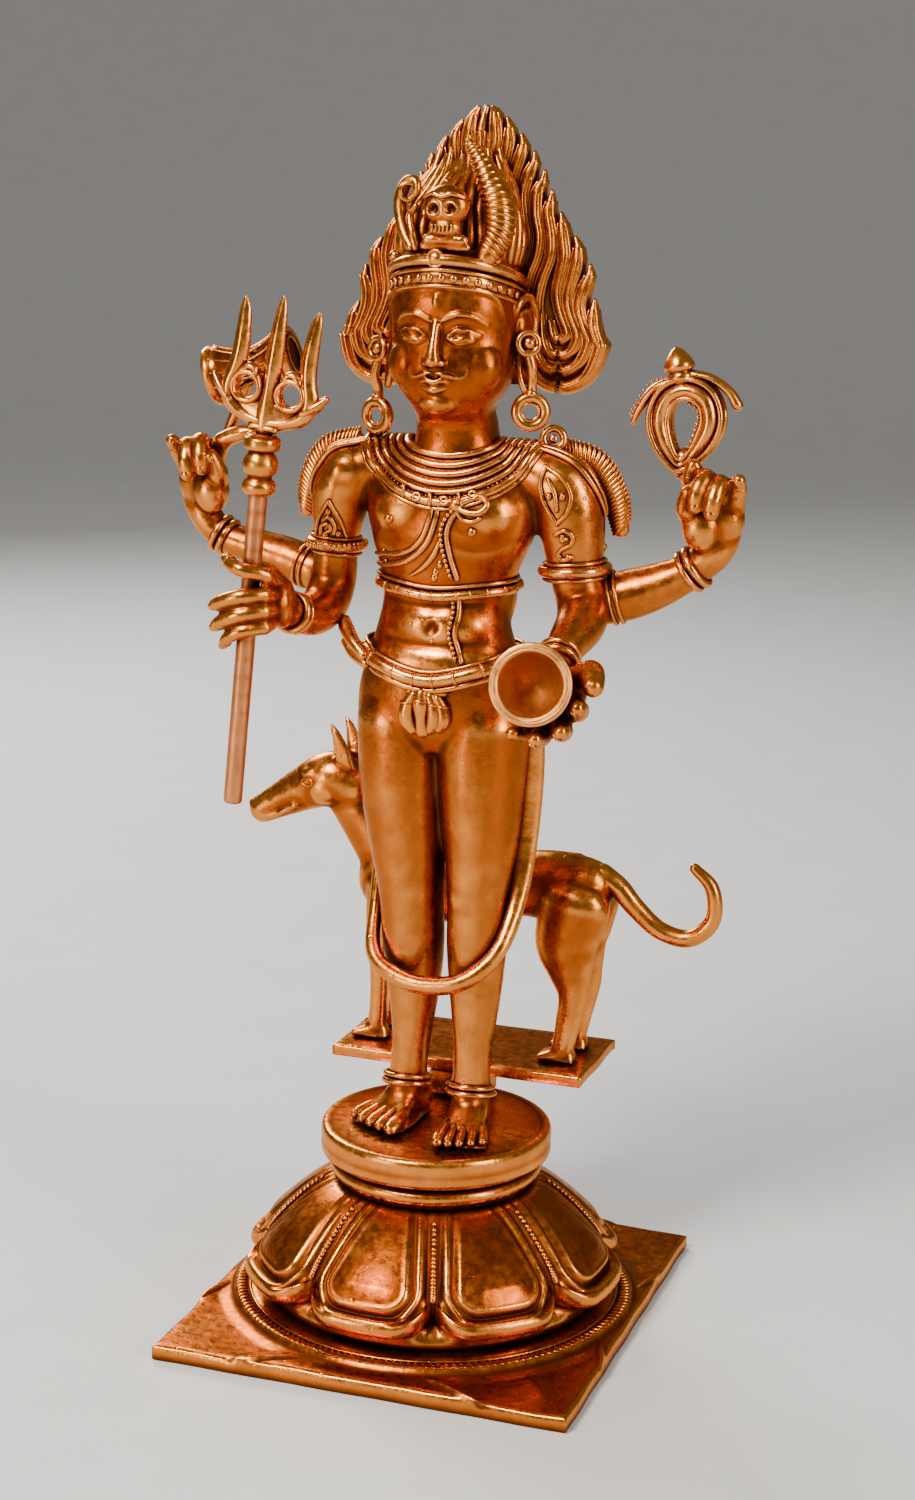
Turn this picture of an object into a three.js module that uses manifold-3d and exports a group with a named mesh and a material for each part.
// A six-inch copper temple figure with four arms, flame hair, trident, drum, noose and bowl. It stands on a
// lotus pedestal, with a dog on a plate of its own behind the ankles. Millimetres, +Z up, the figure faces -Y,
// and the origin is the middle of the base plate's underside. The trident slides in the front right fist.
import * as THREE from "three";
import { mergeVertices } from "three/addons/utils/BufferGeometryUtils.js";
import Module from "manifold-3d";

// ---------------------------------------------------------------- driving dimensions
const BASE_WIDTH = 54;
const BASE_DEPTH = 58;
const BASE_THICKNESS = 2.4;
const BASE_BEVEL = 0.5; // chamfer round the plate's upper edge
const STEP_MARGIN = 1.7; // how far the round step reaches past the petals
const STEP_HEIGHT = 0.8;

const LOTUS_RADIUS = 24.5; // to the petals' lips
const LOTUS_HEIGHT = 14.6; // from the step to the neck
const LIP_LIFT = 2.3; // the petals' lips stand clear of the step by this much
const LIP_THICKNESS = 2.6;
const LOTUS_NECK_RADIUS = 12.6;
const PETALS = 8;
const PETAL_RELIEF = 1.1; // how far a petal's crown stands out of the valleys
const LOTUS_TURN = -19; // degrees from the figure's front to a valley between petals

const DRUM_RADIUS = 14.9;
const DRUM_RIM_HEIGHT = 4.0;
const NECK_RING_RADIUS = 13.7;
const NECK_RING_HEIGHT = 2.3;
const NECK_GROOVE = 0.5; // height of each groove above and below the neck ring

const FIGURE_HEIGHT = 128; // from the soles to the highest flame
const TENON_LENGTH = 3.2; // peg under each foot, let into the drum
const TENON_RADIUS = 1.3;

const DOG_SIZE = 1; // scale of the dog against its nominal 28 mm height at the back
const DOG_PLATE_LENGTH = 34.6;
const DOG_PLATE_DEPTH = 16.5;
const DOG_PLATE_THICKNESS = 1.5;
const DOG_PLATE_LIFT = 4.1; // underside of the plate above the drum
const DOG_PLATE_SETBACK = 6.9; // front edge of the plate behind the figure's centre
const BRACKET_WIDTH = 7.6;

const SHAFT_RADIUS = 1.15;
const GRIP_CLEARANCE = 0.08; // round the trident's shaft, inside the fist
const BOWL_RADIUS = 4.95;
const BOWL_WALL = 0.8;
const BOWL_DEPTH = 6.4;
const SEAM = 0.3; // gap left at every brazed seam

// ---------------------------------------------------------------- derived places
const UNIT = FIGURE_HEIGHT / 128; // figure tables are written for a figure of 128 mm
const STEP_TOP = BASE_THICKNESS + STEP_HEIGHT;
const LOTUS_TOP = STEP_TOP + LOTUS_HEIGHT;
const DRUM_BOTTOM = LOTUS_TOP + SEAM;
const STAND_Z = DRUM_BOTTOM + NECK_RING_HEIGHT + 2 * NECK_GROOVE + DRUM_RIM_HEIGHT;

const wasm = await Module();
wasm.setup();

// ---------------------------------------------------------------- solids
function solidOf(geometry) {
  const bare = geometry.index ? geometry.toNonIndexed() : geometry.clone();
  for (const name of Object.keys(bare.attributes)) if (name !== "position") bare.deleteAttribute(name);
  const merged = mergeVertices(bare, 1e-4);
  return new wasm.Manifold(
    new wasm.Mesh({
      numProp: 3,
      vertProperties: new Float32Array(merged.attributes.position.array),
      triVerts: new Uint32Array(merged.index.array),
    }),
  );
}

function geometryOf(solid) {
  const mesh = solid.getMesh();
  const geometry = new THREE.BufferGeometry();
  geometry.setAttribute("position", new THREE.BufferAttribute(mesh.vertProperties, 3));
  geometry.setIndex(new THREE.BufferAttribute(mesh.triVerts, 1));
  return geometry;
}

const fuse = (...solids) => solids.flat(Infinity).reduce((a, b) => a.add(b));
const cut = (solid, ...tools) => tools.flat(Infinity).reduce((a, b) => a.subtract(b), solid);

// Rings of points joined into one closed skin: open tubes get a fan at each end, closed ones meet themselves.
function skin(rings, closed, poles) {
  const sides = rings[0].length;
  const points = rings.flat();
  const faces = [];
  const spans = closed ? rings.length : rings.length - 1;
  for (let i = 0; i < spans; i++)
    for (let j = 0; j < sides; j++) {
      const k = (j + 1) % sides;
      const next = ((i + 1) % rings.length) * sides;
      faces.push(i * sides + j, i * sides + k, next + k, i * sides + j, next + k, next + j);
    }
  if (!closed) {
    const first = points.length;
    points.push(poles[0], poles[1]);
    const last = (rings.length - 1) * sides;
    for (let j = 0; j < sides; j++) {
      const k = (j + 1) % sides;
      faces.push(first, k, j, first + 1, last + j, last + k);
    }
  }
  const geometry = new THREE.BufferGeometry().setFromPoints(points);
  geometry.setIndex(faces);
  return solidOf(geometry);
}

// A tube through stations [x, y, z, radius, second radius], with domed ends. The first radius lies along the
// reference direction where one is given, as it must be on a closed loop.
function tube(stations, { sides = 8, spans = 2, closed = false, grow = 0, reference = null } = {}) {
  const path = new THREE.CatmullRomCurve3(
    stations.map(([x, y, z]) => new THREE.Vector3(x, y, z)),
    closed,
  );
  const size = new THREE.CatmullRomCurve3(
    stations.map(([, , , a, b = a]) => new THREE.Vector3(a + grow, b + grow, 0)),
    closed,
  );
  const count = closed ? stations.length * spans : (stations.length - 1) * spans;
  let across = reference ? reference.clone() : null;
  const frames = [];
  for (let i = 0; i <= (closed ? count - 1 : count); i++) {
    const along = path.getTangent(i / count);
    if (!across) across = Math.abs(along.x) < 0.8 ? new THREE.Vector3(1, 0, 0) : new THREE.Vector3(0, 0, 1);
    const base = reference || across;
    across = base.clone().addScaledVector(along, -base.dot(along)).normalize();
    const { x: a, y: b } = size.getPoint(i / count);
    frames.push({ at: path.getPoint(i / count), along, u: across, v: along.clone().cross(across), a, b });
  }
  const ring = (frame, scale, shift) =>
    Array.from({ length: sides }, (_, j) => {
      const angle = (2 * Math.PI * j) / sides;
      return frame.at
        .clone()
        .addScaledVector(frame.u, frame.a * scale * Math.cos(angle))
        .addScaledVector(frame.v, frame.b * scale * Math.sin(angle))
        .addScaledVector(frame.along, shift);
    });
  const rings = frames.map((f) => ring(f, 1, 0));
  if (closed) return skin(rings, true);
  const dome = (f, way) => {
    const reach = way * Math.min(f.a, f.b);
    return [ring(f, Math.SQRT1_2, reach * Math.SQRT1_2), f.at.clone().addScaledVector(f.along, reach)];
  };
  const [startRing, startPole] = dome(frames[0], -1);
  const [endRing, endPole] = dome(frames.at(-1), 1);
  return skin([startRing, ...rings, endRing], false, [startPole, endPole]);
}

// Level ellipses [z, x, y, half width, half depth] joined from the bottom up.
function stack(sections, { sides = 16, spans = 1, grow = 0 } = {}) {
  const middle = new THREE.CatmullRomCurve3(sections.map(([z, x, y]) => new THREE.Vector3(x, y, z)));
  const size = new THREE.CatmullRomCurve3(sections.map(([, , , a, b]) => new THREE.Vector3(a, b, 0)));
  const count = (sections.length - 1) * spans;
  const rings = [];
  for (let i = 0; i <= count; i++) {
    const at = middle.getPoint(i / count);
    if (i === 0) at.z -= grow;
    if (i === count) at.z += grow;
    const { x: a, y: b } = size.getPoint(i / count);
    rings.push(
      Array.from({ length: sides }, (_, j) => {
        const angle = (2 * Math.PI * j) / sides;
        return new THREE.Vector3(at.x + (a + grow) * Math.cos(angle), at.y + (b + grow) * Math.sin(angle), at.z);
      }),
    );
  }
  const centre = (ring) =>
    ring.reduce((sum, p) => sum.add(p), new THREE.Vector3()).multiplyScalar(1 / ring.length);
  return skin(rings, false, [centre(rings[0]), centre(rings.at(-1))]);
}

function ball([x, y, z], [a, b = a, c = a], { grow = 0, detail = 8 } = {}) {
  const sphere = new THREE.SphereGeometry(1, detail, Math.ceil(detail * 0.7));
  return solidOf(sphere.rotateX(Math.PI / 2).scale(a + grow, b + grow, c + grow).translate(x, y, z));
}

// A profile of [radius, height] pairs, from the axis back to the axis, turned round the Z axis.
function turned(profile, segments = 36) {
  const lathe = new THREE.LatheGeometry(profile.map(([r, z]) => new THREE.Vector2(r, z)), segments);
  return solidOf(lathe.rotateX(Math.PI / 2));
}

function box([x0, y0, z0], [x1, y1, z1]) {
  const shape = new THREE.BoxGeometry(x1 - x0, y1 - y0, z1 - z0);
  return solidOf(shape.translate((x0 + x1) / 2, (y0 + y1) / 2, (z0 + z1) / 2));
}

function pin([x, y, z], radius, length, segments = 16) {
  const cylinder = new THREE.CylinderGeometry(radius, radius, length, segments);
  return solidOf(cylinder.rotateX(Math.PI / 2).translate(x, y, z + length / 2));
}

// A solid made along its own +Z, turned so that +Z points along a direction, and moved to a place.
function aimed(solid, direction, place) {
  const turn = new THREE.Quaternion().setFromUnitVectors(
    new THREE.Vector3(0, 0, 1),
    new THREE.Vector3(...direction).normalize(),
  );
  const move = new THREE.Matrix4().compose(new THREE.Vector3(...place), turn, new THREE.Vector3(1, 1, 1));
  return solidOf(geometryOf(solid).applyMatrix4(move));
}

// Figure tables are in figure units. Mirroring swaps the figure's right (-X) for its left.
const sized = (stations) => stations.map((row) => row.map((value) => value * UNIT));
const mirrored = (stations) => stations.map(([x, ...rest]) => [-x, ...rest]);
const sidePath = (side, stations) => sized(side < 0 ? stations : mirrored(stations));
const limb = (stations, options = {}) => tube(sized(stations), options);
const lump = (at, radii, options) =>
  ball(at.map((v) => v * UNIT), radii.map((v) => v * UNIT), options);

// A level loop round an elliptical body: half width a, half depth b, dipping by drop at the front.
function hoop({ z, y = 0, x = 0, a, b, wire, drop = 0, tall = wire, grow = 0, count = 16, sides = 6 }) {
  const stations = Array.from({ length: count }, (_, i) => {
    const angle = (2 * Math.PI * i) / count;
    const front = (1 - Math.sin(angle)) / 2;
    return [x + a * Math.cos(angle), y + b * Math.sin(angle), z - drop * front * front, tall, wire];
  });
  return tube(sized(stations), { sides, spans: 1, closed: true, grow, reference: new THREE.Vector3(0, 0, 1) });
}

// A ring of wire round a limb, square to a direction.
function ringAt(place, direction, radius, wire, grow = 0, segments = 14) {
  const torus = solidOf(new THREE.TorusGeometry(radius * UNIT, wire * UNIT + grow, 5, segments));
  return aimed(torus, direction, place.map((v) => v * UNIT));
}

// ---------------------------------------------------------------- pedestal
function basePlate() {
  const [w, d, t, c] = [BASE_WIDTH / 2, BASE_DEPTH / 2, BASE_THICKNESS, BASE_BEVEL];
  const outline = new THREE.Shape([
    new THREE.Vector2(-w + c, -d + c),
    new THREE.Vector2(w - c, -d + c),
    new THREE.Vector2(w - c, d - c),
    new THREE.Vector2(-w + c, d - c),
  ]);
  const slab = new THREE.ExtrudeGeometry(outline, {
    depth: t - c,
    bevelThickness: c,
    bevelSize: c,
    bevelSegments: 1,
    bevelEnabled: true,
  });
  const plate = cut(solidOf(slab), box([-2 * w, -2 * d, -2 * c], [2 * w, 2 * d, 0]));
  const step = turned(
    [
      [0, t - c],
      [LOTUS_RADIUS + STEP_MARGIN, t - c],
      [LOTUS_RADIUS + STEP_MARGIN, t + STEP_HEIGHT / 2],
      [LOTUS_RADIUS + STEP_MARGIN / 2, STEP_TOP],
      [0, STEP_TOP],
    ],
    48,
  );
  return fuse(plate, step);
}

// The petalled bell: a plain foot, a thick lip, then the backs of the petals rising to the neck. The outline
// swells at each petal and draws in between them.
function lotus() {
  const around = PETALS * 6;
  const foot = STEP_TOP + SEAM;
  const shoulder = foot + LIP_LIFT + LIP_THICKNESS;
  const bell = (share) =>
    LOTUS_NECK_RADIUS + (LOTUS_RADIUS - 0.5 - LOTUS_NECK_RADIUS) * Math.pow(1 - share, 0.7);
  const levels = [
    [foot, LOTUS_RADIUS - 2.4, 0],
    [foot + LIP_LIFT, LOTUS_RADIUS - 2.2, 0.6],
    [foot + LIP_LIFT, LOTUS_RADIUS, 1],
    [shoulder, LOTUS_RADIUS - 0.5, 1],
    ...[0.3, 0.6, 0.85, 1].map((share) => [
      shoulder + (LOTUS_TOP - shoulder) * share,
      bell(share),
      1 - share,
    ]),
  ];
  const turn = ((LOTUS_TURN - 90) * Math.PI) / 180;
  const rings = levels.map(([z, radius, relief]) =>
    Array.from({ length: around }, (_, j) => {
      const angle = (2 * Math.PI * j) / around;
      const crown = Math.sqrt(Math.abs(Math.sin((PETALS * angle) / 2)));
      const r = radius + PETAL_RELIEF * relief * (crown - 1) * 1.4;
      return new THREE.Vector3(r * Math.cos(angle - turn), -r * Math.sin(angle - turn), z).multiply(
        new THREE.Vector3(1, -1, 1),
      );
    }),
  );
  const whole = skin(rings, false, [new THREE.Vector3(0, 0, foot), new THREE.Vector3(0, 0, LOTUS_TOP)]);
  return whole;
}

function neckRing() {
  const [r, h] = [NECK_RING_RADIUS, NECK_RING_HEIGHT];
  const z = DRUM_BOTTOM;
  const ring = turned([
    [0, z],
    [r - 1, z],
    [r - 1, z + NECK_GROOVE],
    [r - 0.2, z + NECK_GROOVE + h * 0.25],
    [r, z + NECK_GROOVE + h * 0.5],
    [r - 0.2, z + NECK_GROOVE + h * 0.75],
    [r - 1, z + NECK_GROOVE + h - SEAM],
    [0, z + NECK_GROOVE + h - SEAM],
  ]);
  return ring;
}

function standingDrum() {
  const low = DRUM_BOTTOM + NECK_GROOVE + NECK_RING_HEIGHT;
  const drum = turned([
    [0, low],
    [DRUM_RADIUS - 1.6, low],
    [DRUM_RADIUS - 1.2, low + NECK_GROOVE],
    [DRUM_RADIUS - 0.4, low + NECK_GROOVE],
    [DRUM_RADIUS, low + NECK_GROOVE + 0.8],
    [DRUM_RADIUS, STAND_Z - 0.5],
    [DRUM_RADIUS - 0.5, STAND_Z],
    [0, STAND_Z],
  ]);
  const sockets = [-1, 1].map((side) => {
    const [x, y] = ankle(side);
    return pin([x, y, STAND_Z - TENON_LENGTH - SEAM], TENON_RADIUS + SEAM, TENON_LENGTH + 1);
  });
  return cut(drum, sockets);
}

// ---------------------------------------------------------------- figure
const ANKLES = { "-1": [-4.1, 0.2], 1: [4.9, -0.8] }; // the left foot stands a little ahead
const ankle = (side) => ANKLES[side].map((v) => v * UNIT);

const LEGS = {
  "-1": [
    [-5.3, 0.2, 53, 6.0, 6.2],
    [-5.0, 0, 45, 5.7, 6.0],
    [-4.4, -0.2, 37.5, 5.0, 5.4],
    [-3.7, -0.5, 30.5, 4.3, 4.6],
    [-3.6, 0, 24.5, 4.1, 4.5],
    [-3.5, 0.3, 18, 3.4, 3.8],
    [-3.7, 0.3, 11, 2.6, 3.0],
    [-4.1, 0.2, 5.5, 2.6, 2.8],
    [-4.1, 0.2, 2.4, 2.5, 2.9],
  ],
  1: [
    [5.3, 0.2, 53, 6.0, 6.2],
    [5.3, -0.2, 45, 5.4, 6.0],
    [5.5, -0.6, 37.5, 4.6, 5.3],
    [5.3, -1.2, 30.5, 3.9, 4.5],
    [5.2, -0.8, 24.5, 3.8, 4.4],
    [5.1, -0.6, 18, 3.3, 3.7],
    [5.0, -0.7, 11, 2.6, 3.0],
    [4.9, -0.8, 5.5, 2.6, 2.8],
    [4.9, -0.8, 2.4, 2.5, 2.9],
  ],
};
// Each foot's direction from straight ahead in radians, its reach in front of the ankle and half its breadth.
const FEET = { "-1": { turn: -0.34, reach: 7.6, breadth: 4.2 }, 1: { turn: 0.16, reach: 9.0, breadth: 3.4 } };

// A foot in its own frame, heel at the back and toes towards -Y, turned and set under its ankle. The toes are
// one broad wedge.
function foot(side, grow) {
  const { turn: angle, reach, breadth } = FEET[side];
  const sole = tube(
    sized([
      [0, 2.0, 1.8, 2.4, 1.6],
      [0, -0.8, 2.2, 2.6, 2.0],
      [0, -reach * 0.5, 1.6, breadth * 0.85, 1.4],
      [0, -reach * 0.8, 1.1, breadth, 0.9],
      [0, -reach, 0.9, breadth * 0.85, 0.7],
    ]),
    { sides: 10, spans: 1, grow, reference: new THREE.Vector3(1, 0, 0) },
  );
  const turn = new THREE.Matrix4().makeRotationZ(angle);
  const [x, y] = ankle(side);
  turn.setPosition(x, y, 0);
  const whole = solidOf(geometryOf(sole).applyMatrix4(turn));
  const floor = box([x - 20, y - 20, -20], [x + 20, y + 20, SEAM - grow]);
  return cut(whole, floor);
}

const TORSO = [
  [49.5, 0, 0.3, 8.6, 4.6],
  [53, 0, 0.3, 11.0, 6.4],
  [57, 0, 0.3, 11.0, 6.9],
  [61, 0, 0, 9.9, 6.6],
  [65, 0, -0.5, 8.6, 6.1],
  [68.5, 0.2, -0.4, 8.1, 5.6],
  [72, 0.4, -0.3, 8.8, 5.8],
  [76, 0.8, -0.4, 10.2, 6.4],
  [79.5, 0.9, -0.3, 11.1, 6.4],
  [83, 0.9, 0.2, 11.4, 5.5],
  [86, 0.9, 0.4, 8.6, 4.4],
  [87.6, 0.9, 0.5, 5.4, 3.9],
];
const UPPER_ARM = {
  "-1": [
    [-5.0, 0.6, 84.6, 3.2],
    [-9.8, 0.4, 84.0, 3.6],
    [-13.4, 0.3, 82.2, 4.0],
    [-14.3, 0.3, 78.6, 3.4],
    [-14.7, 0.4, 74.6, 2.8],
  ],
  1: [
    [6.4, 0.6, 84.8, 3.2],
    [11.4, 0.4, 84.2, 3.7],
    [15.0, 0.3, 82.4, 4.3],
    [16.1, 0.3, 77.6, 4.0],
    [16.4, 0.4, 73.2, 3.4],
  ],
};

function body(grow = 0) {
  const torso = stack(sized(TORSO), { grow });
  const sides = [-1, 1].map((side) => [
    tube(sized(LEGS[side]), { sides: 10, spans: 1, grow, reference: new THREE.Vector3(1, 0, 0) }),
    foot(side, grow),
    tube(sized(UPPER_ARM[side]), { sides: 9, spans: 1, grow }),
  ]);
  return fuse(torso, sides);
}

function bodyWithTenons() {
  const tenons = [-1, 1].map((side) => {
    const [x, y] = ankle(side);
    return pin([x, y, -TENON_LENGTH], TENON_RADIUS, TENON_LENGTH + 2);
  });
  return fuse(body(), tenons);
}

const HEAD_SHIFT = 1.1; // the head sits a little to its own left of the body's middle
const atHead = (solid) => solidOf(geometryOf(solid).translate(HEAD_SHIFT * UNIT, 0, 0));

const HEAD = [
  [86.5, 0, 0.6, 4.7, 4.6],
  [90, 0, 0.2, 4.6, 4.6],
  [92.4, 0, -1.6, 5.0, 6.4],
  [95, 0, -1.6, 6.4, 7.4],
  [99, 0, -1.3, 7.1, 7.7],
  [103, 0, -1.1, 7.4, 7.9],
  [107, 0, -0.8, 7.4, 7.7],
  [111, 0, -0.2, 6.6, 6.7],
];
const EAR = [
  [-8.0, 0.2, 104.5, 1.0, 1.5],
  [-8.6, 0.6, 100.5, 1.0, 1.5],
  [-8.7, 0.2, 96.5, 0.7, 0.9],
  [-8.8, -0.2, 94.4, 0.6, 0.7],
];

function head(grow = 0) {
  const skull = stack(sized(HEAD), { sides: 14, grow });
  const nose = limb([[0, -8.6, 103.5, 0.6], [0, -9.8, 98.6, 0.9]], { sides: 6, spans: 1, grow });
  const ears = [-1, 1].map((side) => tube(sidePath(side, EAR), { sides: 6, spans: 1, grow }));
  return atHead(fuse(skull, nose, ears));
}

const BAND = { z: 108.2, y: -0.6, a: 7.4, b: 7.9, wire: 0.9, tall: 1.9 };
const crownBand = (grow = 0) => atHead(hoop({ ...BAND, grow }));

// The piled hair above the band.
const HAIR = [
  [108.5, 0, 0.2, 6.6, 6.2],
  [111.5, 0, 0.3, 7.4, 7.0],
  [114.5, 0, 0.8, 7.0, 6.4],
  [118, 0, 1.4, 5.6, 5.0],
  [121.5, 0, 2.0, 3.4, 3.2],
];
const hairPile = (grow = 0) => atHead(stack(sized(HAIR), { sides: 12, grow }));

const crownSkull = (grow = 0) => {
  const dome = lump([0.2, -7.0, 115.6], [2.8, 2.0, 2.5], { grow });
  const jaw = lump([0.2, -7.4, 113.2], [2.1, 1.6, 1.5], { grow });
  const plinth = limb([[-2.0, -7.6, 111.6, 0.9], [2.4, -7.6, 111.6, 0.9]], { sides: 6, spans: 1, grow });
  return atHead(fuse(dome, jaw, plinth));
};

// A curled blossom on the right of the crown and a rearing serpent on its left.
const BLOSSOM = [
  [-3.8, -6.6, 111.2, 0.7],
  [-4.9, -5.6, 113.8, 0.8],
  [-5.2, -4.8, 116.6, 0.8],
  [-3.8, -5.2, 117.8, 0.6],
];
const SERPENT = [
  [5.2, -6.2, 111.2, 1.1],
  [6.2, -5.0, 113.6, 1.4],
  [5.4, -4.4, 116.6, 1.4],
  [3.8, -3.8, 119.4, 1.2],
  [2.2, -3.4, 122.0, 0.8],
];
const blossom = (grow = 0) => atHead(limb(BLOSSOM, { sides: 6, spans: 1, grow }));
const serpent = (grow = 0) => atHead(limb(SERPENT, { sides: 6, spans: 1, grow }));

// The flame hair: an upright fan whose edge breaks into pointed tips.
const HALO = { foot: 93.5, widest: 99.5, top: 128, halfWidth: 17, front: 3.0, back: 6.4, tips: 9, notch: 1.9 };
const haloMiddle = (z) => HEAD_SHIFT + 0.045 * (z - HALO.foot); // the fan leans with the head
const haloHalfWidth = (z) =>
  HALO.halfWidth * Math.pow(1 - Math.pow((z - HALO.widest) / (HALO.top - HALO.widest), 1.6), 0.85);

function flameHair() {
  const { foot: low, widest, top, halfWidth, tips, notch } = HALO;
  const edge = [
    [5.5, low + 3.5],
    [8.6, low + 0.6],
    [12.0, low],
    [15.4, low + 1.9],
    [halfWidth, widest - 1],
  ];
  for (let i = 0; i < tips; i++) {
    const z = widest + ((top - widest) * (i + 0.75)) / (tips + 0.4);
    const w = Math.max(haloHalfWidth(z), 0.9);
    edge.push([w, z], [Math.max(w - notch, 0.5), z - 1.0]);
  }
  const right = edge.map(([x, z]) => new THREE.Vector2(haloMiddle(z) + x, z));
  const left = edge.map(([x, z]) => new THREE.Vector2(haloMiddle(z) - x, z)).reverse();
  const outline = new THREE.Shape([...right, new THREE.Vector2(haloMiddle(top), top), ...left]);
  const depth = HALO.back - HALO.front;
  const plate = new THREE.ExtrudeGeometry(outline, { depth, bevelEnabled: false });
  plate.rotateX(Math.PI / 2).translate(0, HALO.back, 0).scale(UNIT, UNIT, UNIT);
  return cut(solidOf(plate), head(SEAM), hairPile(SEAM), crownBand(SEAM));
}

// ---------------------------------------------------------------- ornaments on the body
const NECKLACE = { z: 85.4, y: 0.2, a: 9.0, b: 6.2, wire: 0.9, tall: 1.4, drop: 3.6 };
const THROAT = { z: 87.9, y: 0.1, a: 6.2, b: 5.5, wire: 0.7, tall: 0.9, drop: 1.0 };
const CHEST_BAND = { z: 70.6, y: -0.3, a: 9.2, b: 6.6, wire: 0.7, tall: 0.9, drop: 0.8 };
const HIP_BELT = { z: 61.6, y: -0.2, a: 10.9, b: 7.9, wire: 0.9, tall: 1.1, drop: 2.4 };

const behind = () => box([-40, 1.5, 60], [40, 40, 110]); // a collar shows in front only
const necklace = (grow = 0) => hoop({ ...NECKLACE, grow, count: 18 });
const throatRing = (grow = 0) => hoop({ ...THROAT, x: HEAD_SHIFT / 2, grow });
const chestBand = (grow = 0) => hoop({ ...CHEST_BAND, grow });
const hipBelt = (grow = 0) => hoop({ ...HIP_BELT, grow, count: 18 });

const THREAD_UPPER = [
  [3.6, -6.8, 80.9, 0.6],
  [1.2, -7.2, 79.2, 0.6],
  [1.3, -7.2, 76.0, 0.6],
  [1.9, -6.7, 72.4, 0.6],
];
const THREAD_LOWER = [
  [1.9, -6.6, 67.6, 0.5],
  [2.2, -6.9, 64.6, 0.5],
  [3.6, -7.2, 62.0, 0.5],
];
const PENDANTS = [
  [-2.0, 57.2, 2.5],
  [0.1, 56.8, 3.0],
  [2.1, 57.2, 2.4],
];

function beltPendants(grow = 0) {
  const drops = PENDANTS.map(([x, z, tall]) => lump([x, -7.4, z], [1.05, 1.15, tall / 1.3], { grow, detail: 8 }));
  const bar = limb([[-2.2, -7.2, 58.1, 0.7], [2.2, -7.2, 58.1, 0.7]], { sides: 6, spans: 1, grow });
  return fuse(bar, drops);
}

// The long garland falls behind the thighs from both hips and loops across the shins.
const GARLAND = [
  [-10.6, 3.2, 57, 0.7, 1.0],
  [-9.6, 3.6, 47, 0.7, 1.3],
  [-8.9, 3.2, 37, 0.7, 1.2],
  [-8.9, 0.6, 28, 0.8, 0.9],
  [-7.6, -3.4, 22.6, 0.8, 0.8],
  [-3.6, -5.6, 20.4, 0.8, 0.8],
  [0.9, -5.9, 20.0, 0.8, 0.8],
  [5.4, -6.0, 21.2, 0.8, 0.8],
  [9.0, -3.6, 24.8, 0.8, 0.8],
  [10.4, 0.6, 31, 0.8, 0.9],
  [10.6, 3.2, 39, 0.7, 1.2],
  [10.9, 3.6, 48, 0.7, 1.3],
  [11.2, 3.2, 57, 0.7, 1.0],
];
const garland = (grow = 0) =>
  tube(sized(GARLAND), { sides: 6, spans: 1, grow, reference: new THREE.Vector3(0.2, -1, 0.1).normalize() });

const FRINGE = [
  [-13.2, 3.0, 86.6, 0.7, 1.5],
  [-17.2, 3.2, 85.2, 0.7, 1.7],
  [-19.6, 3.4, 81.4, 0.7, 1.6],
  [-20.6, 3.6, 77.4, 0.6, 1.0],
];
const FRINGE_SHIFT = 0.6;
const fringe = (side, grow = 0) =>
  tube(sidePath(side, FRINGE).map(([x, ...rest]) => [x + FRINGE_SHIFT * UNIT, ...rest]), { sides: 6, spans: 1, grow, reference: new THREE.Vector3(0, 1, 0) });

const EARRINGS = { "-1": { place: [-9.0, -0.8, 90.4], turn: -0.35 }, 1: { place: [10.6, -0.6, 91.8], turn: 0.35 } };
const EARRING_RADIUS = 1.6;
const EARRING_WIRE = 0.62;
const earring = (side, grow = 0) =>
  ringAt(EARRINGS[side].place, [EARRINGS[side].turn, -1, 0], EARRING_RADIUS, EARRING_WIRE, grow, 12);
const shoulderRing = (grow = 0) => ringAt([13.2, 1.2, 88.4], [0.4, -1, 0.2], 1.2, 0.5, grow, 10); // on the left only
const ARMLETS = { "-1": { place: [-14.7, 0.4, 74.2], radius: 3.05 }, 1: { place: [16.4, 0.4, 73.0], radius: 3.75 } };
const armlet = (side, grow = 0) =>
  ringAt(ARMLETS[side].place, [side * 0.08, 0, -1], ARMLETS[side].radius, 0.7, grow);
const anklet = (side, grow = 0) => {
  const [x, y] = ANKLES[side];
  return ringAt([x, y - 0.1, 4.9], [0, 0.22, 1], 2.95, 0.5, grow, 12);
};

// ---------------------------------------------------------------- arms
// Each arm starts under the armlet (front pair) or at the elbow (rear pair) and carries its own hand.
const FRONT_RIGHT = [
  [-14.8, 0.5, 73.2, 2.7],
  [-15.2, 0.6, 69.4, 2.9],
  [-15.5, -1.6, 66.6, 2.9],
  [-16.0, -5.2, 65.8, 2.6],
  [-16.6, -8.8, 66.6, 2.0],
  [-16.9, -11.0, 67.4, 1.9, 2.2],
  [-17.2, -12.5, 68.0, 1.5, 2.5],
];
const FRONT_LEFT = [
  [16.6, 0.5, 72.0, 3.2],
  [17.4, 0.6, 69.2, 3.2],
  [18.0, -1.6, 67.0, 3.1],
  [17.6, -5.0, 65.2, 2.6],
  [17.2, -8.0, 63.7, 2.0],
  [17.6, -9.8, 61.6, 2.3, 2.0],
  [17.6, -10.6, 59.2, 2.5, 1.6],
];
const REAR_RIGHT = [
  [-18.6, 3.2, 70.2, 2.6],
  [-22.5, 3.8, 71.2, 2.7],
  [-27.0, 4.0, 72.3, 2.4],
  [-31.6, 4.0, 73.6, 2.0],
  [-34.2, 4.0, 76.2, 2.2],
  [-34.9, 3.8, 79.4, 2.6, 1.8],
  [-34.4, 3.4, 82.4, 2.4, 1.4],
];
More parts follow.
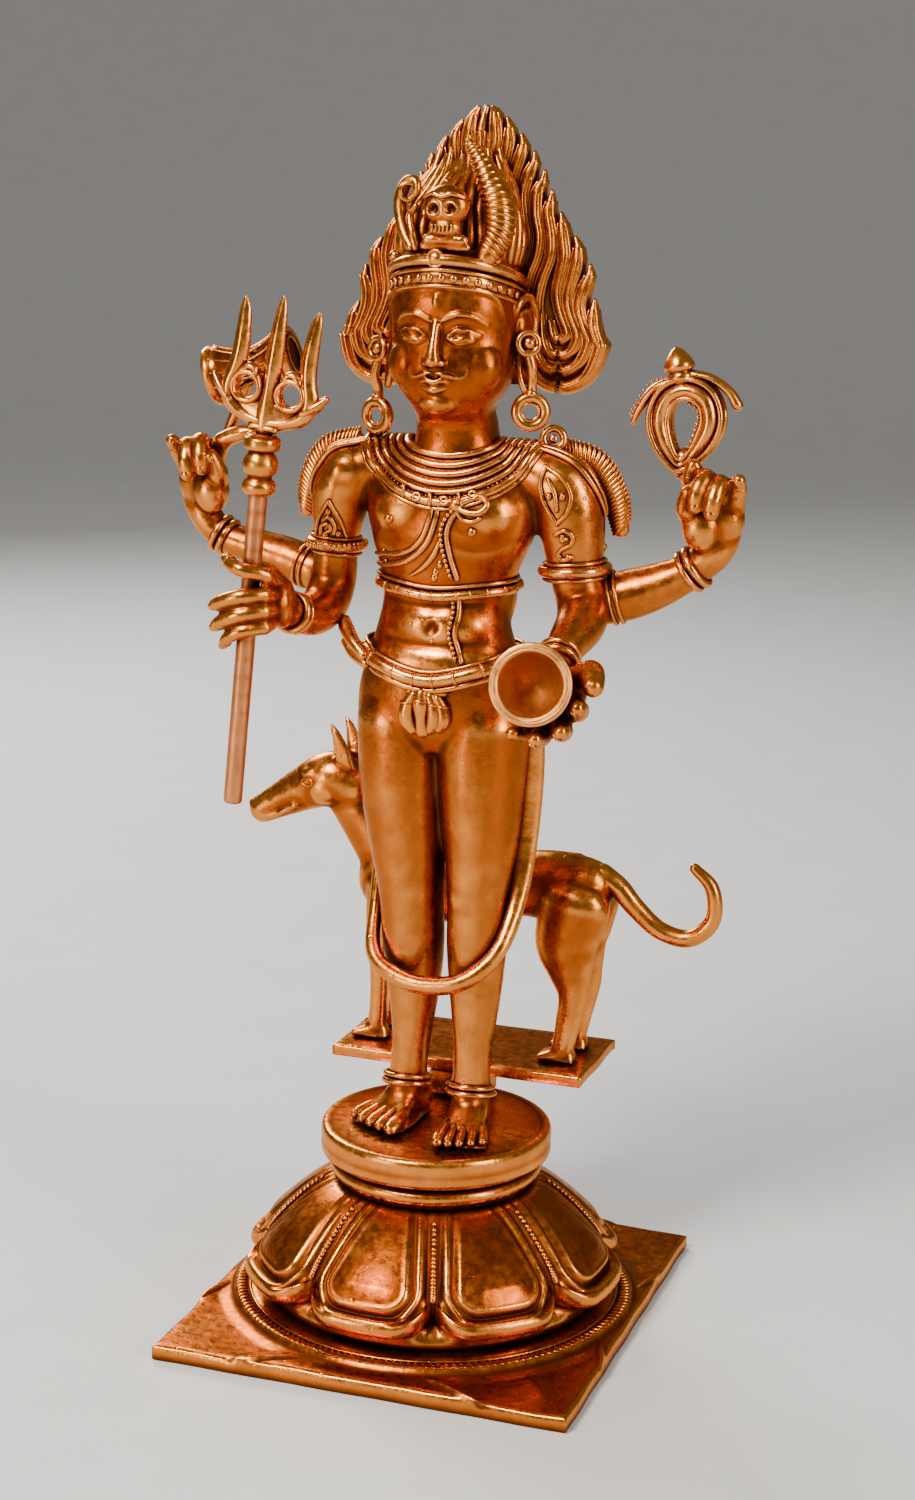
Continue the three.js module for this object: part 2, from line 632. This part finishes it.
const REAR_LEFT = [
  [19.4, 3.2, 69.0, 3.1],
  [22.8, 3.8, 69.9, 3.1],
  [26.6, 4.0, 71.4, 2.7],
  [30.2, 4.0, 73.4, 2.3],
  [32.8, 4.0, 76.0, 2.5],
  [33.4, 3.8, 78.8, 2.7, 1.8],
  [33.0, 3.4, 81.6, 2.5, 1.4],
];
// Fingers as stations, index first and thumb last.
const GRIP_FINGERS = [
  [[-17.3, -12.9, 70.6, 0.8], [-17.8, -15.8, 71.6, 0.72], [-19.8, -17.4, 72.2, 0.7], [-23.0, -16.4, 73.6, 0.6]],
  [[-17.3, -13.1, 69.6, 0.8], [-17.7, -16.0, 70.1, 0.75], [-19.9, -17.6, 70.4, 0.7], [-23.6, -16.2, 71.2, 0.65]],
  [[-17.3, -13.1, 68.2, 0.8], [-17.8, -16.0, 68.4, 0.75], [-20.0, -17.6, 68.4, 0.7], [-24.0, -16.2, 68.8, 0.65]],
  [[-17.4, -12.7, 66.8, 0.75], [-17.9, -15.6, 66.4, 0.7], [-20.1, -17.3, 66.4, 0.65], [-24.2, -16.0, 66.6, 0.6]],
  [[-17.0, -11.4, 69.6, 0.95], [-19.0, -12.3, 71.4, 0.8], [-21.3, -12.6, 71.8, 0.7]],
];
const BOWL_FINGERS = [
  [[19.2, -11.0, 59.6, 0.9], [20.6, -13.8, 59.2, 0.8], [20.6, -16.0, 60.2, 0.65]],
  [[18.2, -11.4, 58.0, 0.9], [19.2, -14.6, 56.9, 0.8], [19.4, -17.0, 57.6, 0.65]],
  [[16.8, -11.2, 57.6, 0.9], [17.0, -14.6, 56.0, 0.8], [17.0, -17.4, 56.4, 0.65]],
  [[15.6, -10.8, 58.0, 0.85], [14.8, -13.8, 56.3, 0.75], [14.4, -16.4, 56.6, 0.6]],
  [[19.2, -10.4, 61.8, 1.0], [21.4, -12.8, 62.6, 0.95], [22.0, -14.8, 62.2, 0.8]],
];
const DRUM_FINGERS = [
  [[-32.6, 3.0, 83.6, 0.85], [-30.8, 2.4, 86.0, 0.8], [-27.8, 2.0, 86.8, 0.65]],
  [[-33.6, 2.8, 83.8, 0.85], [-33.4, 1.0, 86.2, 0.8], [-33.0, 0.2, 84.0, 0.65]],
  [[-35.0, 2.8, 83.4, 0.85], [-35.2, 1.0, 85.4, 0.8], [-34.8, 0.2, 83.2, 0.65]],
  [[-36.2, 3.2, 82.8, 0.8], [-37.4, 2.0, 84.8, 0.75], [-37.9, 1.2, 86.4, 0.6]],
  [[-32.2, 3.0, 79.8, 1.0], [-31.0, 1.0, 82.4, 0.85], [-31.2, 0.4, 85.0, 0.7]],
];
const NOOSE_FINGERS = [
  [[31.4, 3.0, 82.7, 0.85], [30.4, 2.2, 85.0, 0.8], [30.6, 1.0, 86.8, 0.65]],
  ...DRUM_FINGERS.slice(1).map((finger) => finger.map(([x, y, z, r]) => [-x - 1.0, y, z - 0.9, r])),
];

function arm(stations, fingers, grow = 0) {
  const limbs = fingers.map((finger) => limb(finger, { sides: 5, spans: 1, grow }));
  return fuse(limb(stations, { sides: 8, spans: 1, grow }), limbs);
}
const frontRightArm = (grow = 0) => arm(FRONT_RIGHT, GRIP_FINGERS, grow);
const frontLeftArm = (grow = 0) => arm(FRONT_LEFT, BOWL_FINGERS, grow);
const rearRightArm = (grow = 0) => arm(REAR_RIGHT, DRUM_FINGERS, grow);
const rearLeftArm = (grow = 0) => arm(REAR_LEFT, NOOSE_FINGERS, grow);

// A bracelet sits square on the forearm, at one of its stations.
function bracelet(stations, index, grow = 0) {
  const [before, here, after] = [index - 1, index, index + 1].map((i) => new THREE.Vector3(...stations[i]));
  const along = after.sub(before);
  return ringAt(here.toArray(), along.toArray(), stations[index][3] + 0.5, 0.6, grow, 12);
}

// ---------------------------------------------------------------- things held
const SHAFT_FOOT = [-22.1, -15.0, 43.5];
const SHAFT_HEAD = [-18.1, -15.0, 89.3];
const shaftDirection = new THREE.Vector3(...SHAFT_HEAD).sub(new THREE.Vector3(...SHAFT_FOOT)).normalize();
const shaftLength = new THREE.Vector3(...SHAFT_HEAD).distanceTo(new THREE.Vector3(...SHAFT_FOOT)) * UNIT;
const onShaft = (solid, up) =>
  aimed(
    solid,
    shaftDirection.toArray(),
    new THREE.Vector3(...SHAFT_FOOT).multiplyScalar(UNIT).addScaledVector(shaftDirection, up).toArray(),
  );

const tridentShaft = (grow = 0, extra = 0) =>
  onShaft(pin([0, 0, -extra], SHAFT_RADIUS + grow, shaftLength + 2 * extra - SEAM, 14), 0);

// The turned collars between the shaft and the prongs, threaded over the top of the shaft.
function tridentCollar() {
  const r = SHAFT_RADIUS;
  const bore = r + SEAM;
  const collar = turned(
    [
      [bore, -7.6],
      [r + 0.5, -7.4],
      [r + 0.8, -6.6],
      [r + 0.5, -5.7],
      [r + 0.4, -5.3],
      [r + 0.95, -4.3],
      [r + 0.95, -3.4],
      [r + 0.4, -2.3],
      [r + 1.0, -1.9],
      [r + 1.0, -0.8],
      [r + 0.6, -0.4],
      [bore, -0.4],
      [bore, -7.6],
    ],
    14,
  );
  return onShaft(collar, shaftLength);
}

// Half of the trident's outline, from the tip of the middle prong down to the neck.
const PRONG_OUTLINE = [
  [0.55, 14.6],
  [1.0, 11],
  [1.35, 6.9],
  [2.9, 7.1],
  [3.5, 7.6],
  [3.2, 10.4],
  [3.8, 13.4],
  [4.55, 15.5],
  [5.2, 13],
  [5.6, 10.2],
  [5.4, 7.2],
  [6.0, 5.7],
  [7.8, 5.9],
  [7.3, 4.2],
  [5.6, 2.1],
  [3.2, 0.7],
  [1.5, 0],
];
const PRONG_TIP = 16.4;
const PRONG_THICKNESS = 1.9;
const PRONG_EYE = { x: 2.95, z: 4.9, radius: 1.4 }; // the round opening beside the middle prong
const HEAD_TILT = 0.08; // the prongs lean a little further over than the shaft

function tridentHead() {
  const half = PRONG_OUTLINE.map(([x, z]) => new THREE.Vector2(x, z));
  const other = PRONG_OUTLINE.map(([x, z]) => new THREE.Vector2(-x, z)).reverse();
  const outline = new THREE.Shape([new THREE.Vector2(0, PRONG_TIP), ...half, ...other]);
  for (const side of [-1, 1]) {
    const eye = new THREE.Path();
    eye.absarc(side * PRONG_EYE.x, PRONG_EYE.z, PRONG_EYE.radius, 0, 2 * Math.PI);
    outline.holes.push(eye);
  }
  const plate = new THREE.ExtrudeGeometry(outline, { depth: PRONG_THICKNESS, bevelEnabled: false, curveSegments: 5 });
  plate.rotateX(Math.PI / 2).translate(0, PRONG_THICKNESS / 2, 0).scale(UNIT, UNIT, UNIT).rotateY(HEAD_TILT);
  return cut(onShaft(solidOf(plate), shaftLength), onShaft(pin([0, 0, -9], 3, 9.1), shaftLength));
}

const BOWL_PLACE = [16.9, -18.4, 62.2].map((v) => v * UNIT);
const BOWL_FACING = [0.16, -1, 0.26];

// The bowl's profile is turned about its own axis, rim outwards. Grown, it is a plain plug.
function bowlProfile(radius, depth) {
  const steps = 5;
  return Array.from({ length: steps + 1 }, (_, i) => {
    const angle = ((Math.PI / 2) * i) / steps;
    return [radius * Math.sin(angle), -depth * Math.cos(angle)];
  });
}

function bowl() {
  const outer = bowlProfile(BOWL_RADIUS, BOWL_DEPTH);
  const inner = bowlProfile(BOWL_RADIUS - BOWL_WALL, BOWL_DEPTH - BOWL_WALL).reverse();
  return aimed(turned([...outer, ...inner], 20), BOWL_FACING, BOWL_PLACE);
}

const bowlPlug = (grow) =>
  aimed(turned([...bowlProfile(BOWL_RADIUS + grow, BOWL_DEPTH + grow), [0, 0]], 20), BOWL_FACING, BOWL_PLACE);

// The hourglass hand drum, held by its waist.
const HAND_DRUM = { place: [-27.6, 3.9, 95.4], direction: [0.95, 0.1, 0.28], radius: 3.4, waist: 1.5, length: 10.2 };

function handDrum(grow = 0) {
  const half = (HAND_DRUM.length / 2) * UNIT + grow;
  const r = HAND_DRUM.radius * UNIT + grow;
  const waist = HAND_DRUM.waist * UNIT + grow;
  const profile = [
    [0, -half],
    [r, -half],
    [r, -half * 0.72],
    [waist, 0],
    [r, half * 0.72],
    [r, half],
    [0, half],
  ];
  return aimed(turned(profile, 16), HAND_DRUM.direction, HAND_DRUM.place.map((v) => v * UNIT));
}

// The drum stands on a stem between the fingers, brazed to its waist.
const DRUM_STEM = [[-33.0, 3.9, 82.0, 0.9], [-28.4, 3.9, 93.6, 0.9]];
const drumStem = (grow = 0) => limb(DRUM_STEM, { sides: 8, spans: 1, grow });

// The noose: a tear-shaped loop closed at its neck, with a bud on top and two fluttering ends.
const NOOSE_LOOP = [
  [28.3, 3.8, 85.9, 1.1],
  [26.4, 3.8, 88.1, 1.5],
  [25.5, 3.8, 91.2, 1.75],
  [26.4, 3.8, 94.0, 1.75],
  [28.8, 3.8, 95.1, 1.75],
  [31.2, 3.8, 94.0, 1.75],
  [31.9, 3.8, 91.2, 1.75],
  [30.6, 3.8, 88.2, 1.5],
];
const NOOSE_NECK = [[28.6, 3.8, 86.6, 1.3], [29.6, 3.9, 82.4, 1.2]];
const NOOSE_BUD = [[28.0, 3.8, 96.2, 1.6], [27.4, 3.8, 97.8, 1.5], [27.2, 3.8, 99.3, 0.7]];
const NOOSE_ENDS = [
  [[26.6, 3.8, 95.6, 0.6, 0.6], [23.8, 3.8, 93.4, 0.6, 0.7], [22.2, 3.8, 90.8, 0.5, 0.5]],
  [[29.6, 3.8, 96.6, 0.6, 0.6], [32.8, 3.8, 95.2, 0.6, 0.7], [35.0, 3.8, 92.6, 0.6, 0.6]],
];

function noose(grow = 0) {
  const loop = tube(sized(NOOSE_LOOP), {
    sides: 6,
    spans: 2,
    closed: true,
    grow,
    reference: new THREE.Vector3(0, 1, 0),
  });
  const rest = [NOOSE_NECK, NOOSE_BUD, ...NOOSE_ENDS].map((s) => limb(s, { sides: 6, spans: 1, grow }));
  return fuse(loop, rest);
}

// ---------------------------------------------------------------- dog
// The dog's tables are for its nominal size, with the origin on the plate's upper face, heading towards -X.
const dogSized = (stations) => stations.map((row) => row.map((v) => v * DOG_SIZE));
const dogLimb = (stations, options) => tube(dogSized(stations), options);

const DOG_TRUNK = [
  [-13.2, 0, 22.6, 3.6, 5.2],
  [-9.0, 0, 21.8, 4.1, 5.8],
  [-3.0, 0, 21.8, 4.0, 5.2],
  [4.0, 0, 22.4, 3.6, 4.6],
  [10.5, 0, 23.0, 3.8, 4.8],
  [15.2, 0, 22.8, 3.6, 4.4],
];
const DOG_NECK = [
  [-11.6, 0, 24.0, 3.4, 4.6],
  [-15.2, 0, 28.6, 3.0, 4.0],
  [-18.6, 0, 32.8, 2.7, 3.4],
];
const DOG_SKULL = [
  [-17.6, 0, 34.0, 3.0, 3.2],
  [-20.8, 0, 34.4, 3.3, 3.6],
  [-24.4, 0, 33.0, 2.6, 2.9],
  [-28.4, 0, 30.4, 1.9, 2.2],
  [-31.4, 0, 28.8, 1.5, 1.7],
];
const DOG_EAR = [[-18.4, 2.0, 36.4, 1.3, 0.8], [-18.9, 2.4, 39.4, 1.1, 0.6], [-20.2, 2.6, 42.6, 0.35]];
const DOG_FORELEG = [[-12.0, 2.4, 21.0, 2.4], [-12.8, 2.7, 13.5, 1.7], [-12.8, 2.7, 6.0, 1.3], [-13.0, 2.7, 1.9, 1.4]];
const DOG_HINDLEG = [
  [14.4, 2.2, 21.6, 3.3, 4.2],
  [12.8, 2.6, 15.6, 2.7, 3.3],
  [15.4, 2.9, 10.0, 1.5, 1.7],
  [13.6, 2.9, 5.4, 1.3, 1.4],
  [13.0, 2.9, 1.9, 1.4, 1.4],
];
const DOG_PAW = [[0.4, 0, 1.1, 1.5, 1.0], [-2.4, 0, 1.0, 1.7, 0.9]];
const DOG_TAIL = [
  [18.0, 0, 24.4, 1.4],
  [21.2, 0, 21.6, 1.3],
  [25.0, 0, 18.4, 1.25],
  [29.2, 0, 17.9, 1.2],
  [32.2, 0, 21.0, 1.1],
  [31.4, 0, 25.4, 1.0],
  [28.9, 0, 27.4, 0.8],
];
const LEVEL = new THREE.Vector3(0, 1, 0);

function dogBody(grow = 0) {
  const trunk = [DOG_TRUNK, DOG_NECK, DOG_SKULL].map((s) =>
    dogLimb(s, { sides: 10, spans: 1, grow, reference: LEVEL }),
  );
  const sides = [-1, 1].flatMap((side) => {
    const across = (stations) => stations.map(([x, y, ...rest]) => [x, side * y, ...rest]);
    const paw = (leg) => DOG_PAW.map(([x, , ...rest]) => [x + leg.at(-1)[0], side * leg.at(-1)[1], ...rest]);
    return [
      dogLimb(across(DOG_EAR), { sides: 5, spans: 1, grow, reference: LEVEL }),
      ...[DOG_FORELEG, DOG_HINDLEG].flatMap((leg) => [
        dogLimb(across(leg), { sides: 7, spans: 1, grow, reference: LEVEL }),
        dogLimb(paw(leg), { sides: 6, spans: 1, grow, reference: LEVEL }),
      ]),
    ];
  });
  const floor = box([-60, -60, -20], [60, 60, SEAM - grow]);
  return cut(fuse(trunk, sides), floor);
}

const dogTail = () => cut(dogLimb(DOG_TAIL, { sides: 6, spans: 1 }), dogBody(SEAM));

const PLATE_BOTTOM = STAND_Z + DOG_PLATE_LIFT;
const PLATE_TOP = PLATE_BOTTOM + DOG_PLATE_THICKNESS;
const PLATE_FRONT = DOG_PLATE_SETBACK * UNIT;
const PLATE_MIDDLE = PLATE_FRONT + DOG_PLATE_DEPTH / 2;
const BRACKET_FRONT = PLATE_FRONT + 0.8;
const BRACKET_BACK = DRUM_RADIUS - 1.6;

const dogPlate = () =>
  box([-DOG_PLATE_LENGTH / 2, PLATE_FRONT, PLATE_BOTTOM], [DOG_PLATE_LENGTH / 2, PLATE_FRONT + DOG_PLATE_DEPTH, PLATE_TOP]);
const plateBracket = () =>
  box([-BRACKET_WIDTH / 2, BRACKET_FRONT, STAND_Z + SEAM], [BRACKET_WIDTH / 2, BRACKET_BACK, PLATE_BOTTOM - SEAM]);

// ---------------------------------------------------------------- assembly
const metal = (name, color, roughness) => new THREE.MeshStandardMaterial({ name, color, roughness, metalness: 1 });
const CAST = metal("antique_copper", 0x9a4a16, 0.38);
const POLISHED = metal("rubbed_copper", 0xc8743a, 0.28);
const ROD = metal("drawn_copper", 0xb5683f, 0.42);

const statue = new THREE.Group();
const figure = new THREE.Group();
const dog = new THREE.Group();
figure.position.z = STAND_Z;
dog.position.set(0, PLATE_MIDDLE, PLATE_TOP);
statue.add(figure, dog);

function piece(group, name, solid, material = CAST) {
  const mesh = new THREE.Mesh(geometryOf(solid), material);
  mesh.name = name;
  group.add(mesh);
}

piece(statue, "base_plate", basePlate());
piece(statue, "lotus_bell", lotus());
piece(statue, "neck_ring", neckRing());
piece(statue, "standing_drum", standingDrum());
piece(statue, "dog_plate", dogPlate());
piece(statue, "dog_plate_bracket", plateBracket());
piece(dog, "dog", dogBody());
piece(dog, "dog_tail", dogTail());

const skinGap = body(SEAM);
const headGap = head(SEAM);
const bracelets = {
  front_right: (grow) => bracelet(FRONT_RIGHT, 4, grow),
  front_left: (grow) => bracelet(FRONT_LEFT, 4, grow),
  rear_right: (grow) => bracelet(REAR_RIGHT, 3, grow),
  rear_left: (grow) => bracelet(REAR_LEFT, 3, grow),
};
const arms = {
  front_right: cut(frontRightArm(), skinGap, armlet(-1, SEAM), tridentShaft(GRIP_CLEARANCE, 40)),
  front_left: cut(frontLeftArm(), skinGap, armlet(1, SEAM), bowlPlug(SEAM)),
  rear_right: cut(rearRightArm(), skinGap, frontRightArm(SEAM), drumStem(SEAM), handDrum(SEAM)),
  rear_left: cut(rearLeftArm(), skinGap, frontLeftArm(SEAM), noose(SEAM)),
};
const grownArms = { front_right: frontRightArm, front_left: frontLeftArm, rear_right: rearRightArm, rear_left: rearLeftArm };

piece(figure, "figure_body", bodyWithTenons());
piece(figure, "head", cut(head(), skinGap));
piece(figure, "hair_pile", cut(hairPile(), headGap, crownBand(SEAM)));
piece(figure, "flame_hair", flameHair());
piece(figure, "crown_band", cut(crownBand(), headGap), POLISHED);
piece(figure, "crown_skull", cut(crownSkull(), headGap, hairPile(SEAM), crownBand(SEAM)), POLISHED);
piece(figure, "crown_blossom", cut(blossom(), headGap, hairPile(SEAM), crownBand(SEAM), crownSkull(SEAM)));
piece(figure, "crown_serpent", cut(serpent(), headGap, hairPile(SEAM), crownBand(SEAM), crownSkull(SEAM)));
piece(figure, "throat_ring", cut(throatRing(), skinGap, headGap, necklace(SEAM), behind()), POLISHED);
piece(figure, "necklace", cut(necklace(), skinGap, headGap, behind()), POLISHED);
piece(figure, "chest_band", cut(chestBand(), skinGap), POLISHED);
piece(figure, "sacred_thread_upper", cut(limb(THREAD_UPPER, { sides: 6, spans: 1 }), skinGap, chestBand(SEAM), necklace(SEAM)), POLISHED);
piece(figure, "sacred_thread_lower", cut(limb(THREAD_LOWER, { sides: 6, spans: 1 }), skinGap, chestBand(SEAM), hipBelt(SEAM)), POLISHED);
piece(figure, "hip_belt", cut(hipBelt(), skinGap), POLISHED);
piece(figure, "belt_pendants", cut(beltPendants(), skinGap, hipBelt(SEAM)), POLISHED);
piece(figure, "long_garland", cut(garland(), skinGap, hipBelt(SEAM)));

for (const [side, word] of [
  [-1, "right"],
  [1, "left"],
]) {
  piece(figure, `shoulder_fringe_${word}`, cut(fringe(side), skinGap));
  piece(figure, `earring_${word}`, cut(earring(side), headGap, skinGap, throatRing(SEAM), necklace(SEAM)), POLISHED);
  piece(figure, `armlet_${word}`, cut(armlet(side), skinGap), POLISHED);
  piece(figure, `anklet_${word}`, cut(anklet(side), skinGap), POLISHED);
}
for (const key of Object.keys(arms)) {
  piece(figure, `arm_${key}`, cut(arms[key], bracelets[key](SEAM)));
  piece(figure, `bracelet_${key}`, cut(bracelets[key](0), grownArms[key](SEAM)), POLISHED);
}
piece(
  figure,
  "shoulder_ring",
  cut(shoulderRing(), headGap, skinGap, earring(1, SEAM), fringe(1, SEAM), necklace(SEAM)),
  POLISHED,
);
piece(figure, "trident_shaft", tridentShaft(), ROD);
piece(figure, "trident_collar", tridentCollar());
piece(figure, "trident_head", tridentHead(), POLISHED);
piece(figure, "skull_bowl", bowl(), POLISHED);
piece(figure, "hand_drum", handDrum());
piece(figure, "drum_stem", cut(drumStem(), handDrum(SEAM), rearRightArm(SEAM)));
piece(figure, "noose", cut(noose()), POLISHED);

export default statue;
